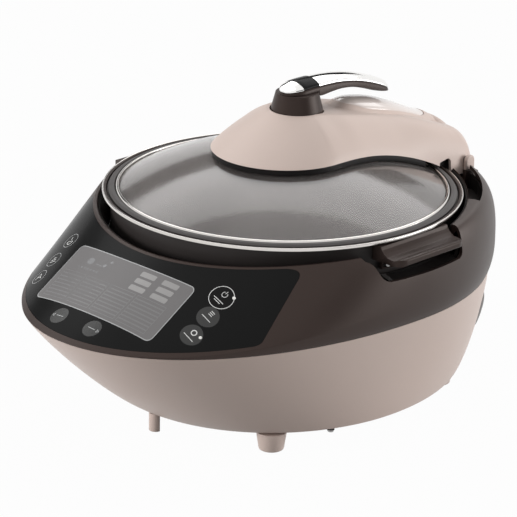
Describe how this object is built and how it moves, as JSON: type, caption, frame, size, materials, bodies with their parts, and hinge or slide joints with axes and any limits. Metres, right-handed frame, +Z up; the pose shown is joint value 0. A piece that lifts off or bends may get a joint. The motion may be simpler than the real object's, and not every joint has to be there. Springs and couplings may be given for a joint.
{
  "type": "multicooker",
  "caption": "Countertop multicooker with a sloping touch panel, a hinged glass lid under a curved arm with a turning lever, and a pot with side grips.",
  "frame": {"origin": "middle of the footprint, on the surface that the feet stand on", "axes": "+Z up, -Y out of the control panel, +Y towards the lid hinge, +X to the panel's right as seen by the user facing it"},
  "size_m": [0.344, 0.458, 0.2716],
  "materials": {
    "shell_beige": "satin warm beige",
    "band_brown": "glossy dark brown",
    "handle_brown": "satin brown",
    "panel_black": "glossy black",
    "display_grey": "glossy grey display",
    "lamp_white": "milky white",
    "black_plastic": "satin black",
    "cup_grey": "satin dark grey",
    "silicone_grey": "soft dark grey",
    "steel_bright": "bright",
    "steel_plain": "plain zinc plated",
    "chrome": "polished",
    "aluminium_cast": "cast",
    "pot_coating": "dark non-stick coating",
    "tinted_glass": "clear, lightly tinted",
    "board_green": "green circuit board"
  },
  "bodies": {
    "base": {"lower_shell": "shell_beige", "upper_shell": "band_brown", "control_panel": "panel_black", "display_window": "display_grey", "status_lamp_1": "lamp_white", "status_lamp_2": "lamp_white", "bottom_cover": "black_plastic", "foot_front_right": "shell_beige", "foot_front_left": "shell_beige", "foot_rear_right": "shell_beige", "foot_rear_left": "shell_beige", "front_prop": "shell_beige", "well_ring": "black_plastic", "recess_cup_right": "black_plastic", "recess_cup_left": "black_plastic", "heat_shield": "steel_plain", "heating_plate": "aluminium_cast", "heater_ring": "steel_plain", "sensor_spring": "steel_plain", "sensor_bridge": "steel_plain", "pot": "pot_coating", "pot_rim_ring": "steel_bright", "pot_handle_right": "handle_brown", "pot_handle_left": "handle_brown", "handle_screw_right_front": "chrome", "handle_screw_left_front": "chrome", "handle_screw_right_rear": "chrome", "handle_screw_left_rear": "chrome", "hinge_bracket_right": "band_brown", "hinge_bracket_left": "band_brown", "hinge_pin": "steel_plain", "hinge_spring_right": "steel_plain", "hinge_spring_left": "steel_plain", "hinge_pan": "black_plastic", "display_module": "steel_plain", "control_board": "board_green", "power_board": "board_green", "inlet_socket": "black_plastic", "cover_screw_1": "steel_plain", "cover_screw_2": "steel_plain", "cover_screw_3": "steel_plain", "cover_screw_4": "steel_plain"},
    "lid": {"lid_glass": "tinted_glass", "lid_rim": "steel_bright", "lid_gasket": "silicone_grey", "lid_hub": "black_plastic", "hub_nut": "steel_plain", "arm_housing": "shell_beige", "arm_chassis": "black_plastic", "arm_trim": "black_plastic", "button_spring": "steel_plain"},
    "lever": {"turret": "handle_brown", "lever_shaft": "steel_plain", "lever": "handle_brown", "lever_cap": "chrome", "lever_strip": "panel_black", "lever_inlay": "chrome"},
    "button": {"release_button": "shell_beige"},
    "sensor": {"thermostat_sensor": "aluminium_cast"},
    "cup": {"condensate_cup": "cup_grey"}
  },
  "joints": [
    {"name": "lid_hinge", "type": "hinge", "parent": "base", "child": "lid", "pos_m": [0, 0.191, 0.181], "axis": [-1, 0, 0], "range_deg": [0, 80]},
    {"name": "lever_turn", "type": "hinge", "parent": "lid", "child": "lever", "pos_m": [0, 0.038, 0.234], "axis": [0, 0, 1], "range_deg": [0, 90]},
    {"name": "button_press", "type": "slide", "parent": "lid", "child": "button", "axis": [0, 0, -1], "range_m": [0, 0.003], "stiffness_N_per_m": 800, "springref_m": -0.002, "deforming": ["button_spring"]},
    {"name": "sensor_press", "type": "slide", "parent": "base", "child": "sensor", "axis": [0, 0, -1], "range_m": [0, 0.003], "stiffness_N_per_m": 600, "springref_m": -0.001, "deforming": ["sensor_spring"]},
    {"name": "cup_pull", "type": "slide", "parent": "base", "child": "cup", "axis": [0, 1, 0], "range_m": [0, 0.03]}
  ]
}
